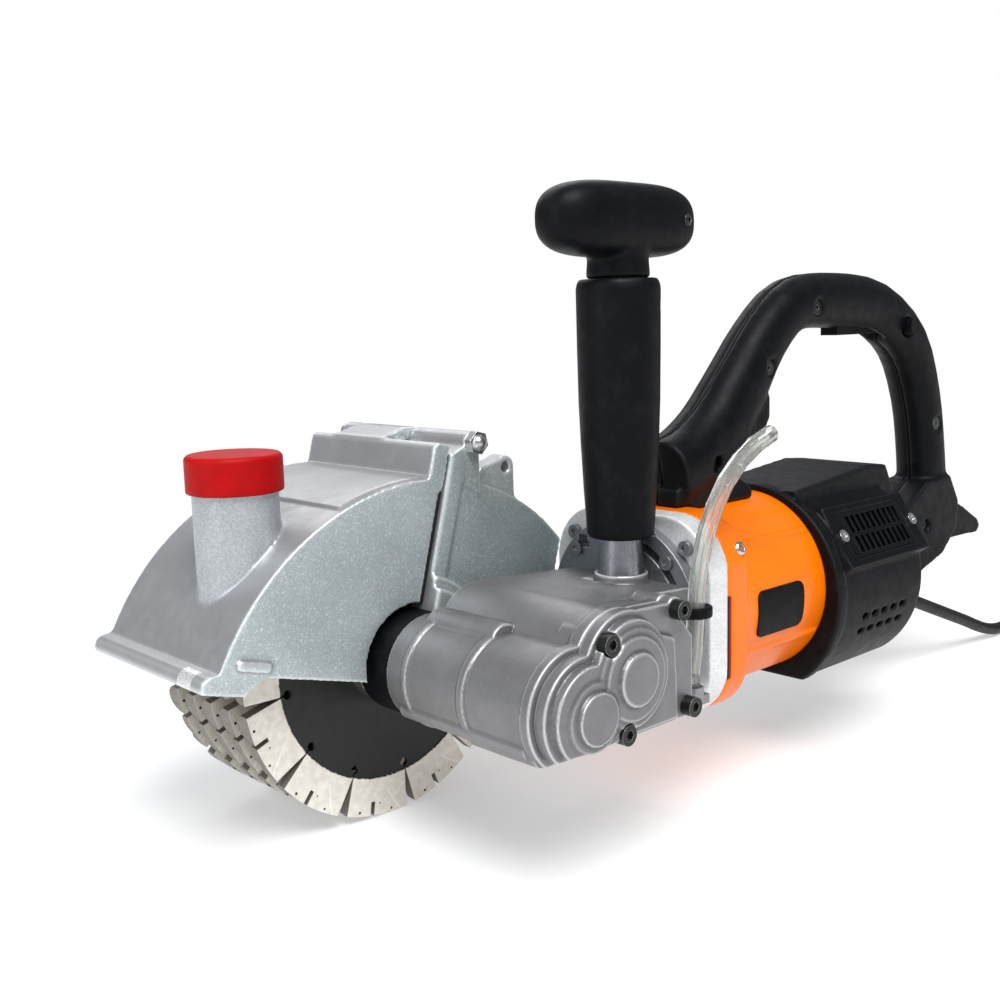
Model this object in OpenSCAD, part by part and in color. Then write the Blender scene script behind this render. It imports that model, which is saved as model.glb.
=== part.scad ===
// Wall chaser: a hand-held slot cutter with five blades on one long spindle, a two-part hinged blade guard,
// a bevel and spur gearbox, an in-line motor, a front T-handle and a rear D-handle.
//
// While modelling, the origin is on the spindle axis at the outer face of blade 1. X runs along the motor to
// the rear handle, Y along the spindle to blade 5, and Z up. place() then puts the origin at the middle of the
// machine's base, on the surface that the blades stand on. The guard is drawn level and split at its middle,
// and guard_frame() tilts it about the spindle.

/* [Blades] */
// Diameter of the blades
blade_d = 150; // [140:1:152]
// Distance from one blade to the next
blade_pitch = 15; // [14:0.5:15]
// Thickness of a blade's steel core
core_t = 1.8; // [1.4:0.1:2.2]
// Number of cutting segments on a blade
segments = 12; // [8:1:18]
// Thickness of a blade's cutting segments
segment_t = 8.6; // [7:0.2:9]

/* [Guard] */
// Radius of the guard's curved wall
drum_r = 115; // [113:1:120]
// Angle by which the guard is swung up at the front
guard_tilt = 15; // [0:1:15]
// Thickness of the guard's walls
wall = 3.2; // [2.4:0.2:4]
// Outer diameter of the dust spout
spout_d = 36; // [34:1:42]

/* [Gearbox] */
// Distance between the spindle and the intermediate shaft
centre_distance = 26; // [26:1:26]
// Radius of the spindle barrel
barrel_r = 23.5; // [23:0.5:25]
// Length of the spindle barrel, from its cover to its neck
barrel_len = 88; // [86:1:92]

/* [Motor] */
// Distance of the motor axis from the outer face of blade 1, along the spindle
motor_offset = 64; // [64:1:64]
// Outer radius of the orange motor housing
motor_r = 46; // [45:0.5:48]
// Outer radius of the black rear housing
rear_r = 53; // [51:0.5:54]
// Length of the rear housing
rear_len = 98; // [92:1:100]

/* [Handles] */
// Half the thickness of the rear handle's grip
grip_r = 15; // [14:0.5:16]
// Length of the front T-handle's grip
front_grip_len = 112.5; // [100:0.5:120]
// Length of the front handle's cross knob
knob_len = 87; // [80:1:100]

/* [Cord] */
// Diameter of the mains cord
cord_d = 7.6; // [7:0.1:8]

/* [Hidden] */
$fn = 72;

// Blades and spindle
blade_r = blade_d / 2;
core_r = blade_r - 17;
segment_side = 0.4;          // how far a segment stands out of the core's outer face
slot_turn = 7.5;
keyhole_r = 2;
bore_r = 11.1;
blade_count = 5;
stack_end = (blade_count - 1) * blade_pitch + core_t;
flange_r = 21;
flange_t = 5;
inner_flange_t = 6;
nut_t = 5;
spindle_end = stack_end + flange_t + nut_t + 0.6;
run = 0.05;                  // radial clearance of a running fit
gap = 0.3;                   // clearance between pieces that move past each other

// Shaft centres
motor_y = -motor_offset;
motor_z = centre_distance * sin(30);
inter_x = centre_distance * cos(30);
inter_z = motor_z;

// Gearbox stations along Y
neck_y = -30;
mouth_y = neck_y - barrel_len;
cover_y = mouth_y - 10;
boss_y = cover_y - 4;
boss_spot = [23, 9.5];
foot_z = -16;

// Gears
gear_module = 1;
gear_teeth = 32;
pinion_teeth = 20;
bevel_module = 1.25;
bevel_teeth = 27;
bevel_pinion_teeth = 9;
bevel_r = bevel_module * bevel_teeth / 2;
bevel_pinion_r = bevel_module * bevel_pinion_teeth / 2;
bevel_face = 0.6;            // the small end's share of the large end's size
gear_y = mouth_y + 5;
gear_w = 12;

// Motor stations along X
plate_x = 88;
adaptor_x = plate_x + 6;
orange_x = adaptor_x + 13;
rear_x = 185;
rear_end = rear_x + rear_len;
rear_z = motor_z - 5;
rear_floor = motor_z - 48;    // the flat underside of the rear housing
rotor_r = 24;
stator_r = 41;

// Front T-handle
stem_x = 75.5;
stem_y = -75;
stem_base = 27.5;
stem_seat = 36;
grip_z = 52;
grip_top = grip_z + front_grip_len;
knob_r = 17;
knob_z = grip_top + 23.5;

// Rear D-handle: stations along its centre line. Each is X, Z, half the height and half the width.
handle_stations = [
    [116, 74, 17, 17], [134, 79, 17, 17], [154, 91, 17.5, 16], [173, 111, 16.5, 15], [194, 135, 14.5, 14],
    [219, 151.5, 14, 14], [258, 153.5, 15, 14], [300, 149, 15, 14], [335, 129, 14.5, 14], [353, 97, 14, 13.5],
    [361, 62, 14, 13.5], [364, 32, 15, 13.5], [363, 18, 14, 13]
];
handle_steps = 3;
handle_cavity = [[240, 300], [141, 158]];
trigger_x = [258, 306];
trigger_z = 138;
button_spot = [319, 138];

// Guard, in its own level frame
drum_x = 16.8;
drum_z = -31.7;
base_z = -10.5;
lip_z = -18.5;
lip_x = -103;
rear_wall = 79.3;
guard_near = -20;
guard_far = 76;
notch_r = barrel_r + 2.5;
collar_r = 23;
hinge_x = 11.9;
hinge_z = 100.5;
hinge_r = 5;
pin_r = 2.5;
flange_top = 97;
lug = [37, 93];
spout_x = -64.5;
spout_y = 14;
spout_top = 95;
spout_bore = 15.5;
spout_seat = 75;           // the shoulder that a dust hose's cuff rests on
cap_z = 80.5;
cap_top = 96.7;
cap_r = 20.3;

// Cord, hose and plug. The route is the stretch of the cord that is not coiled.
relief_x = rear_end + 34;
cord_r = cord_d / 2;
cord_z = -20;
floor_z = -blade_r;
cord_route = [
    [317, -64, -20], [332, -64, -22], [348, -64, -27], [364, -64, -33], [380, -64, -39], [396, -64, -45],
    [412, -64, -51], [428, -64, -57], [443, -64, -63], [458, -64, -68], [474, -64, -71], [492, -64, -71.2],
    [510, -63, -71.2], [530, -62.4, -71.2], [552, -62.4, -71.2]
];
coil_x = 552;
coil_y = -111;
coil_mid = 41;
coil_half = 11.4;
coil_h = 15.4;
plug_r = 17;
hose_route = [
    [79, -111.5, -10], [79, -111.5, -5], [79, -113, 5], [79, -114, 20], [80, -114, 32], [82, -114, 44],
    [86, -114, 56], [92, -114, 67], [100, -114, 77], [110, -114, 85], [121, -114, 91], [133, -114, 95]
];
hose_r = 4;
hose_bore = 2.75;

// The origin is at the middle of the machine's base, to the nearest millimetre
mid_x = 163;
mid_y = -29;

// ---------- helpers ----------

module place() translate([-mid_x, -mid_y, blade_r]) children();

// Extrudes an outline of the X-Z plane along Y
module along_y(y0, y1) translate([0, y1, 0]) rotate([90, 0, 0]) linear_extrude(y1 - y0) children();

// Extrudes an outline of the Y-Z plane along X
module along_x(x0, x1) translate([x0, 0, 0]) rotate([90, 0, 90]) linear_extrude(x1 - x0) children();

module rod_y(r, y0, y1, x = 0, z = 0)
    translate([x, y0, z]) rotate([-90, 0, 0]) cylinder(r = r, h = y1 - y0);

module ring_y(r_out, r_in, y0, y1, x = 0, z = 0) difference() {
    rod_y(r_out, y0, y1, x, z);
    rod_y(r_in, y0 - 1, y1 + 1, x, z);
}

module rod_x(r, x0, x1, y = motor_y, z = motor_z)
    translate([x0, y, z]) rotate([0, 90, 0]) cylinder(r = r, h = x1 - x0);

module ring_x(r_out, r_in, x0, x1, y = motor_y, z = motor_z) difference() {
    rod_x(r_out, x0, x1, y, z);
    rod_x(r_in, x0 - 1, x1 + 1, y, z);
}

module cone_x(r0, r1, x0, x1, y = motor_y, z = motor_z)
    translate([x0, y, z]) rotate([0, 90, 0]) cylinder(r1 = r0, r2 = r1, h = x1 - x0);

// Puts children at an angle round the motor axis, at a radius
module round_motor(angle, r) translate([0, motor_y + r * cos(angle), motor_z + r * sin(angle)]) children();

// A screw with its head towards -X
module screw_x(x0, len, head_r, shank_r, head_t) {
    rod_x(head_r, x0 - head_t, x0, 0, 0);
    rod_x(shank_r, x0, x0 + len, 0, 0);
}

module guard_frame() rotate([0, guard_tilt, 0]) children();

// A tube of 8 sides through a list of points
function unit(v) = v / norm(v);
function sweep_dir(p, i) = unit(p[min(i + 1, len(p) - 1)] - p[max(i - 1, 0)]);
function ring_point(c, d, side, r, a) = c + r * (cos(a) * side + sin(a) * cross(d, side));
function side_of(d) = unit(cross(abs(d[1]) < 0.9 ? [0, 1, 0] : [1, 0, 0], d));
module swept_tube(points, r, sides = 10) {
    n = len(points);
    rings = [
        for (i = [0 : n - 1])
            let (d = sweep_dir(points, i))
                for (k = [0 : sides - 1]) ring_point(points[i], d, side_of(d), r, k * 360 / sides)
    ];
    walls = [
        for (i = [0 : n - 2], k = [0 : sides - 1])
            [i * sides + k, (i + 1) * sides + k, (i + 1) * sides + (k + 1) % sides, i * sides + (k + 1) % sides]
    ];
    ends = [
        [for (k = [0 : sides - 1]) k],
        [for (k = [0 : sides - 1]) n * sides - 1 - k]
    ];
    polyhedron(rings, concat(walls, ends), convexity = 6);
}

// ---------- blades and spindle ----------

// Puts children at each slot, with X along the radius
module at_slots() for (k = [0 : segments - 1]) rotate(slot_turn + k * 360 / segments) children();

// Wedge-shaped slots that end in keyholes, and short round-ended slots between them
module blade_slots() at_slots() {
    polygon([[core_r, -0.3], [core_r, 0.3], [blade_r + 2, 3], [blade_r + 2, -3]]);
    translate([core_r - 4, -0.3]) square([4.1, 0.6]);
    translate([core_r - 4, 0]) circle(keyhole_r);
    rotate(12.6) {
        translate([blade_r - 6.5, -1.1]) square([9, 2.2]);
        translate([blade_r - 6.5, 0]) circle(1.1);
    }
}

module blade(i) color("dimgray") place() translate([0, i * blade_pitch, 0]) {
    along_y(0, core_t) difference() {
        circle(core_r);
        circle(bore_r);
        blade_slots();
    }
    difference() {
        along_y(-segment_side, segment_t - segment_side) difference() {
            circle(blade_r);
            circle(core_r - 0.5);
            blade_slots();
        }
        // the segments narrow towards their inner face
        along_y(segment_t - 3.4, segment_t) at_slots()
            polygon([[core_r - 2, -1.5], [core_r - 2, 1.5], [blade_r + 2, 7], [blade_r + 2, -7]]);
        along_y(core_t + 1.5, segment_t) circle(core_r + 4);
    }
}

module blade_spacers() color("silver") place() for (i = [0 : blade_count - 2])
    ring_y(flange_r - 2, bore_r, i * blade_pitch + core_t, (i + 1) * blade_pitch);

module inner_flange() color("silver") place() ring_y(flange_r, bore_r, -inner_flange_t, 0);

module outer_flange() color("silver") place() ring_y(flange_r, bore_r, stack_end, stack_end + flange_t);

module arbor_nut() color("gray") place() difference() {
    translate([0, stack_end + flange_t, 0]) rotate([-90, 0, 0]) cylinder(r = 15, h = nut_t, $fn = 6);
    rod_y(8, 0, 100);
}

module spindle_shaft() color("lightgray") place() {
    rod_y(6, cover_y + 1.5, -34);
    rod_y(8.5, -34, -inner_flange_t);
    rod_y(bore_r, -inner_flange_t, stack_end + flange_t);
    rod_y(8, stack_end + flange_t, spindle_end);
}

// One tooth's half thickness, in degrees, at a radius that lies dr outside the pitch circle
function tooth_half(teeth, dr) =
    let (r = gear_module * teeth / 2)
        (gear_module * PI / 4 - 0.12 - dr * tan(20)) / r * 180 / PI;

function gear_outline(teeth) = [
    for (k = [0 : teeth - 1], s = [[-1, -1.2], [-1, 0.9], [1, 0.9], [1, -1.2]])
        let (r = gear_module * (teeth / 2 + s[1]), a = k * 360 / teeth + s[0] * tooth_half(teeth, s[1]))
            [r * cos(a), r * sin(a)]
];

module spindle_gear() color("gray") place() difference() {
    along_y(gear_y, gear_y + gear_w) rotate(30) polygon(gear_outline(gear_teeth));
    rod_y(6, -200, 0);
}

// A ball bearing as one ring with a groove on each face
module bearing_y(r_out, r_in, y0, y1, x = 0, z = 0) difference() {
    ring_y(r_out, r_in, y0, y1, x, z);
    ring_y(r_out - 1.8, r_in + 1.8, y0 - 1, y0 + 0.6, x, z);
    ring_y(r_out - 1.8, r_in + 1.8, y1 - 0.6, y1 + 1, x, z);
}

module spindle_bearings() color("silver") place() {
    bearing_y(12, 6 + run, cover_y + 2, mouth_y);
    bearing_y(17, 8.5 + run, neck_y + 0.5, neck_y + 12.5);
}

// ---------- intermediate shaft ----------

module gear_shaft() color("lightgray") place() rod_y(5, cover_y + 2, -41.5, inter_x, inter_z);

module shaft_pinion() color("gray") place() difference() {
    along_y(gear_y - 1, gear_y + gear_w + 1) translate([inter_x, inter_z])
        rotate(210 + 180 / pinion_teeth) polygon(gear_outline(pinion_teeth));
    rod_y(5, -200, 0, inter_x, inter_z);
}

// The bevel wheel's toothed face stops 0.4 short of the pitch cone, and so does the pinion's
module bevel_gear() color("gray") place() translate([inter_x, motor_y, inter_z]) rotate([90, 0, 0])
    difference() {
        rotate_extrude() polygon([
            [5, bevel_pinion_r * bevel_face + 0.4],
            [bevel_r * bevel_face, bevel_pinion_r * bevel_face + 0.4],
            [bevel_r, bevel_pinion_r + 0.4],
            [bevel_r - 0.6, bevel_pinion_r + 3],
            [12, bevel_pinion_r + 6],
            [12, bevel_pinion_r + 12],
            [5, bevel_pinion_r + 12]
        ]);
        for (k = [0 : bevel_teeth - 1]) rotate(k * 360 / bevel_teeth)
            translate([bevel_r * bevel_face - 1, -0.6, 0]) rotate([0, -18.4, 0])
                translate([0, 0, -1]) cube([12, 1.2, 3.2]);
    }

module gear_shaft_bearings() color("silver") place() {
    bearing_y(11.5, 5 + run, cover_y + 2.5, mouth_y, inter_x, inter_z);
    bearing_y(11.5, 5 + run, -48, -41, inter_x, inter_z);
}

// ---------- rotor ----------

module rotor_shaft() color("lightgray") place() {
    rod_x(3, inter_x + bevel_r * bevel_face + 0.4, 46);
    rod_x(4, 46, 58);
    rod_x(5, 58, rear_end - 12);
}

module bevel_pinion() color("gray") place() translate([inter_x, motor_y, motor_z]) rotate([0, 90, 0])
    difference() {
        rotate_extrude() polygon([
            [3, bevel_r * bevel_face + 0.4],
            [bevel_pinion_r * bevel_face + 0.5, bevel_r * bevel_face + 0.4],
            [bevel_pinion_r - 0.3, bevel_r],
            [bevel_pinion_r - 0.3, bevel_r + 4],
            [3, bevel_r + 4]
        ]);
        for (k = [0 : bevel_pinion_teeth - 1]) rotate(k * 360 / bevel_pinion_teeth)
            translate([bevel_pinion_r + 0.2, 0, bevel_r + 1]) cylinder(r = 0.9, h = 6, $fn = 24);
    }

module rotor_core() color("darkgray") place() difference() {
    rod_x(rotor_r, 132, 182);
    rod_x(5, 100, 200);
    for (k = [0 : 11]) round_motor(k * 30, rotor_r - 1) translate([157, 0, 0])
        rotate([k * 30, 0, 0]) cube([60, 8, 2.4], center = true);
}

module commutator() color("peru") place() ring_x(13, 5, 206, 222);

module cooling_fan() color("dimgray") place() {
    ring_x(30, 5, 112, 114.5);
    for (k = [0 : 8]) translate([114, motor_y, motor_z]) rotate([k * 40, 0, 0])
        translate([0, 9, -1]) cube([8, 20, 2]);
}

// A ball bearing round the motor axis
module bearing_x(r_out, r_in, x0, x1) difference() {
    ring_x(r_out, r_in, x0, x1);
    ring_x(r_out - 1.8, r_in + 1.8, x0 - 1, x0 + 0.6);
    ring_x(r_out - 1.8, r_in + 1.8, x1 - 0.6, x1 + 1);
}

module rotor_bearings() color("silver") place() {
    bearing_x(14, 5 + run, 76, 86);
    bearing_x(12, 5 + run, rear_end - 20, rear_end - 12);
}

// ---------- stator and brushes ----------

module stator_core() color("darkgray") place() difference() {
    rod_x(stator_r, 134, 180);
    rod_x(rotor_r + 1, 130, 184);
    for (side = [-1, 1]) translate([157, motor_y + side * 33, motor_z]) cube([60, 7, 26], center = true);
}

module stator_windings() color("peru") place() for (side = [-1, 1])
    translate([157, motor_y + side * 33, motor_z]) cube([56, 6, 25], center = true);

module brush_side() for (side = [0, 1]) translate([0, motor_y, motor_z]) mirror([0, side, 0]) children();

module brush_holders() color("black") place() difference() {
    intersection() {
        brush_side() translate([208, 15, -6]) cube([12, 40, 12]);
        rod_x(rear_r - 3.5, 200, 230, motor_y, rear_z);
    }
    brush_side() translate([210.5, 10, -3.5]) cube([7, 24, 7]);
}

module carbon_brushes() color("gray") place() brush_side()
    translate([210.5, 13 + gap, -3.5]) cube([7, 16, 7]);

// ---------- gearbox ----------

module box_outline(x_end) {
    translate([inter_x, inter_z]) circle(22);
    polygon([[inter_x, foot_z], [x_end, foot_z], [x_end, 31], [inter_x + 4, 34.6], [inter_x, 35]]);
}

module housing_body() {
    rod_y(barrel_r, mouth_y, neck_y);
    rod_y(barrel_r + 1, -80, -76);
    rod_y(barrel_r + 1, -44, -41);
    rod_y(barrel_r + 1.5, mouth_y, mouth_y + 5);
    rod_y(4.5, -112, -36, -17, -13);
    rod_y(8, -80, -38, 0, 19.5);
    rod_y(6, -116, -78, -14.5, -14);
    along_y(-104, -36) box_outline(plate_x);
    along_y(mouth_y, -100) box_outline(64);
    along_y(mouth_y, mouth_y + 6) cover_outline();
    for (p = bolt_spots) rod_y(5, mouth_y, mouth_y + 14, p[0], p[1]);
    rod_x(20, 66, plate_x);
    translate([stem_x, stem_y, 20]) cylinder(r = 12, h = stem_seat - 20);
    for (k = [0 : 5]) translate([30 + 7 * k, mouth_y + 4, foot_z - 2]) cube([4, 18, 4]);
    translate([28, mouth_y + 2, foot_z - 3]) cube([43, 2.5, 4]);
}

module gearbox_housing() color("silver") place() difference() {
    housing_body();
    // chambers of the spur gears and of the bevel gears
    rod_y(18.5, mouth_y - 1, -98);
    rod_y(12.5, mouth_y - 1, -80, inter_x, inter_z);
    rod_y(18.5, -84, -56, inter_x, inter_z);
    rod_y(8, -100, -20);
    rod_y(7, -60, -41, inter_x, inter_z);
    rod_y(11.5, -48, -41, inter_x, inter_z);
    rod_x(9, 30, 60);
    rod_x(6.5, 50, 100);
    rod_x(14, 76, 100);
    rod_y(10, -36, -20);
    bolt_holes(mouth_y - 1, mouth_y + 12);
    translate([stem_x, stem_y, stem_base]) cylinder(r = 6, h = 20);
    translate([stem_x, stem_y, stem_seat]) cylinder(r = 14, h = 20);
    for (a = [225, 315]) round_motor(a, 38.5) rod_x(4, 84, 100, 0, 0);
    // the floor of the spindle barrel is level with the foot near its cover
    translate([-40, mouth_y - 1, foot_z - 13]) cube([56, 14, 10]);
}

bolt_spots = [[10, 25.5], [53, 31], [60, -11], [19, -12.5]];

module bolt_holes(y0, y1) for (p = bolt_spots) rod_y(2.5, y0, y1, p[0], p[1]);

module cover_outline() intersection() {
    union() {
        circle(barrel_r - 1);
        translate([inter_x, inter_z]) circle(23);
        polygon([[0, foot_z], [62, foot_z], [64, -12], [64, 18], [50, 34], [inter_x + 8, 35]]);
        for (p = bolt_spots) translate(p) circle(5);
    }
    translate([-40, foot_z]) square([120, 80]);
}

module gear_cover() color("silver") place() difference() {
    union() {
        along_y(cover_y + 4, mouth_y) cover_outline();
        // the raised face inside the cover's rim
        intersection() {
            union() {
                rod_y(barrel_r - 4, cover_y, mouth_y);
                rod_y(20, cover_y, mouth_y, inter_x, inter_z);
                along_y(cover_y + 1.5, mouth_y) polygon([[4, -14], [52, -14], [50, 20], [inter_x, 30]]);
            }
            along_y(cover_y, mouth_y) translate([-40, foot_z + 2]) square([120, 80]);
        }
        rod_y(14, cover_y - 1, cover_y + 1, 0.5, -1);
        rod_y(10.5, boss_y + 1, cover_y + 1, 0.5, -1);
        rod_y(20, cover_y - 0.8, cover_y + 1, boss_spot[0], boss_spot[1]);
        rod_y(16.8, cover_y - 2, cover_y + 1, boss_spot[0], boss_spot[1]);
        rod_y(10.8, boss_y, cover_y + 1, boss_spot[0], boss_spot[1]);
    }
    rod_y(12, cover_y + 2, mouth_y + 1);
    rod_y(11.5, cover_y + 2.5, mouth_y + 1, inter_x, inter_z);
    rod_y(6.5, cover_y + 1, mouth_y + 1);
    rod_y(5.5, cover_y + 1.5, mouth_y + 1, inter_x, inter_z);
    bolt_holes(cover_y - 10, mouth_y + 1);
    for (p = bolt_spots) rod_y(4.6, cover_y - 10, cover_y + 4, p[0], p[1]);
}

// Socket-head bolts of the gear cover
module cover_bolts() color("black") place() for (p = bolt_spots) difference() {
    union() {
        rod_y(4.2, cover_y - 1, cover_y + 4, p[0], p[1]);
        rod_y(2.5, cover_y + 4, mouth_y + 11, p[0], p[1]);
    }
    translate([p[0], cover_y - 1.5, p[1]]) rotate([-90, 0, 0]) cylinder(r = 2.3, h = 3, $fn = 6);
}

module neck_collar() color("black") place() difference() {
    rod_y(collar_r, neck_y, -9.5);
    rod_y(17, neck_y - 1, neck_y + 12.5);
    rod_y(12.5, neck_y, 0);
}

// ---------- motor ----------

screw_angles = [45, 135, 225, 315];
ear_r = 47.5;

// A square with round corners, square to the motor axis
module motor_square(half, corner, x0, x1) along_x(x0, x1) translate([motor_y, motor_z]) {
    square([2 * half, 2 * (half - corner)], center = true);
    square([2 * (half - corner), 2 * half], center = true);
    for (sy = [-1, 1], sz = [-1, 1]) translate([sy * (half - corner), sz * (half - corner)]) circle(corner);
}

module flange_plate() color("gray") place() difference() {
    rod_x(43.5, plate_x, adaptor_x);
    rod_x(14, plate_x - 1, adaptor_x + 1);
    for (a = screw_angles) round_motor(a, 38.5) rod_x(2, plate_x - 1, adaptor_x + 1, 0, 0);
    // arc slot and square window of the cooling air
    along_x(plate_x - 1, adaptor_x + 1) translate([motor_y, motor_z]) {
        intersection() {
            difference() {
                circle(37);
                circle(33);
            }
            polygon([[0, 0], [-60, 26], [-60, 60], [-14, 60]]);
        }
        translate([20, 28]) square([7, 6]);
    }
    translate([stem_x, stem_y, grip_z - 1]) cylinder(r = 16, h = 30);
}

module flange_screws() color("silver") place() for (a = screw_angles) round_motor(a, 38.5)
    difference() {
        screw_x(plate_x, 12, 3.4, 2, 2);
        rod_x(1.4, plate_x - 3, plate_x - 1, 0, 0);
    }

module adaptor_ring() color("whitesmoke") place() difference() {
    motor_square(46.5, 26, adaptor_x, orange_x);
    rod_x(33, adaptor_x - 1, orange_x + 1);
    for (a = screw_angles) round_motor(a, 38.5) rod_x(2, adaptor_x - 1, adaptor_x + 9, 0, 0);
    for (a = screw_angles) round_motor(a, ear_r) rod_x(2.2, adaptor_x - 1, orange_x + 1, 0, 0);
}

module motor_housing() color("orange") place() difference() {
    union() {
        rod_x(motor_r, orange_x, rear_x + 4);
        motor_square(46.5, 26, orange_x, orange_x + 15);
        // the two long ribs of the near side and of the far side
        for (a = [-26, 40, 140, 206]) translate([orange_x + 6, motor_y, motor_z]) rotate([a, 0, 0])
            translate([0, motor_r - 2, -1.5]) cube([rear_x - orange_x - 7, 3, 3]);
    }
    rod_x(motor_r - 3.2, orange_x - 1, 133);
    rod_x(stator_r, 132, 190);
    for (a = screw_angles) round_motor(a, ear_r) rod_x(2.2, orange_x - 1, orange_x + 10, 0, 0);
    // a tall air slot behind the adaptor ring
    for (side = [-1, 1]) translate([orange_x + 1.4, motor_y + side * 44, motor_z - 8])
        cube([3, 12, 38], center = true);
}

module housing_screws() color("silver") place() for (a = screw_angles) round_motor(a, ear_r)
    difference() {
        union() {
            rod_x(2.2, adaptor_x - 2, orange_x + 9, 0, 0);
            rod_x(3.4, adaptor_x - 2.5, adaptor_x, 0, 0);
        }
        rod_x(1.5, adaptor_x - 4, adaptor_x - 1, 0, 0);
    }

// A blank plate with round corners on the near side of the motor housing
module label_plate() color("black") place() difference() {
    intersection() {
        rod_x(motor_r + 0.9, 129, 167);
        translate([148, motor_y - 40, 11]) rotate([90, 0, 0]) linear_extrude(20) {
            square([28, 22], center = true);
            square([36, 14], center = true);
            for (sx = [-1, 1], sz = [-1, 1]) translate([sx * 14, sz * 7]) circle(4);
        }
    }
    rod_x(motor_r, 125, 170);
}

module rear_shape(r, x0, x1, taper) {
    rod_x(r, x0, x1 - taper, motor_y, rear_z);
    cone_x(r, r - taper, x1 - taper, x1, motor_y, rear_z);
}

grille_angle = 33;

// Puts children on the flat seat of a vent grille, with X along the motor and Y facing out
module on_grille() for (side = [0, 1]) translate([0, motor_y, rear_z]) mirror([0, side, 0])
    translate([234, 0, 0]) rotate([grille_angle, 0, 0]) translate([0, rear_r - 4, 0]) children();

module rear_housing() color("black") place() difference() {
    union() {
        rear_shape(rear_r, rear_x, rear_end, 16);
        rod_x(rear_r + 1.5, rear_x, rear_x + 7, motor_y, rear_z);
        on_grille() translate([-38, -6, -17]) cube([76, 11, 34]);
        // the wedge on top
        translate([0, motor_y + 27, 0]) rotate([90, 0, 0]) linear_extrude(54) polygon([
            [rear_x + 3, 30], [rear_x + 3, 60], [rear_end - 26, 66.5], [rear_end - 9, 65], [rear_end, 50],
            [rear_end, 38]
        ]);
    }
    difference() {
        rear_shape(rear_r - 3.5, rear_x + 8, rear_end - 4, 14);
        rod_x(15, rear_end - 22, rear_end);
        translate([rear_x, motor_y - 60, rear_floor - 40]) cube([rear_len, 120, 43.5]);
    }
    translate([rear_x - 1, motor_y - 60, rear_floor - 40]) cube([rear_len + 2, 120, 40]);
    rod_x(motor_r, rear_x - 1, rear_x + 4);
    rod_x(motor_r - 4, rear_x + 3, rear_x + 9);
    rod_x(12, rear_end - 23, rear_end - 12);
    on_grille() translate([-28, -12, -12]) cube([56, 30, 24]);
    on_grille() for (s = [-1, 1]) translate([s * 33, -4, 0]) rotate([-90, 0, 0]) cylinder(r = 1.6, h = 12);
    rod_x(6, rear_end - 8, rear_end + 1, motor_y, cord_z);
    // air slots under the grilles
    for (side = [-1, 1], k = [0 : 4], row = [0, 1])
        translate([214 + 9 * k, motor_y + side * rear_r, rear_z - 12 - 8 * row]) cube([6, 16, 2.5], center = true);
}

module vent_grilles() color("black") place() on_grille() {
    difference() {
        translate([-28, 0, -12]) cube([56, 5, 24]);
        translate([-25, -1, -10]) cube([50, 7, 20]);
    }
    for (k = [0 : 9]) translate([-23 + 5 * k, 1, -10.5]) cube([1.8, 3, 21]);
    translate([-26, 1, -1]) cube([52, 3, 2]);
}

module grille_screws() color("silver") place() on_grille() for (s = [-1, 1])
    translate([s * 33, 0, 0]) rotate([-90, 0, 0]) difference() {
        union() {
            translate([0, 0, -4]) cylinder(r = 1.6, h = 10);
            translate([0, 0, 5]) cylinder(r = 3.2, h = 1.8);
        }
        translate([0, 0, 6]) cylinder(r = 1.5, h = 3);
    }

// ---------- rear handle ----------

// A smooth curve through the handle's stations
function spline(a, b, c, d, t) =
    0.5 * (2 * b + (c - a) * t + (2 * a - 5 * b + 4 * c - d) * t * t + (3 * b - a - 3 * c + d) * t * t * t);
function station(i) = handle_stations[max(0, min(i, len(handle_stations) - 1))];
handle_line = [
    for (i = [0 : len(handle_stations) - 2], k = [0 : handle_steps - 1])
        spline(station(i - 1), station(i), station(i + 1), station(i + 2), k / handle_steps),
    station(len(handle_stations))
];

// One point of a half section, at an angle from the underside to the top
function handle_point(i, a, side) =
    let (
        p = handle_line[i],
        d = sweep_dir([for (q = handle_line) [q[0], q[1]]], i),
        up = p[2] * sign(sin(a)) * pow(abs(sin(a)), 0.85)
    )
        [p[0] - d[1] * up, motor_y + side * p[3] * pow(max(cos(a), 0), 0.85), p[1] + d[0] * up];

// Half of the handle's bar, with its flat face on the motor's middle plane
module handle_half_bar(side, arc = 12) {
    n = len(handle_line);
    m = arc + 1;
    points = [for (i = [0 : n - 1], k = [0 : arc]) handle_point(i, 180 * k / arc - 90, side)];
    walls = [
        for (i = [0 : n - 2], k = [0 : arc])
            [i * m + k, (i + 1) * m + k, (i + 1) * m + (k + 1) % m, i * m + (k + 1) % m]
    ];
    ends = [[for (k = [0 : arc]) k], [for (k = [0 : arc]) n * m - 1 - k]];
    faces = concat(walls, ends);
    polyhedron(points, side > 0 ? faces : [for (f = faces) [for (k = [len(f) - 1 : -1 : 0]) f[k]]], convexity = 6);
}

// A flat block beside the motor's middle plane
module handle_block(side, width) translate([0, side < 0 ? motor_y : motor_y + width, 0])
    rotate([90, 0, 0]) linear_extrude(width) children();

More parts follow.
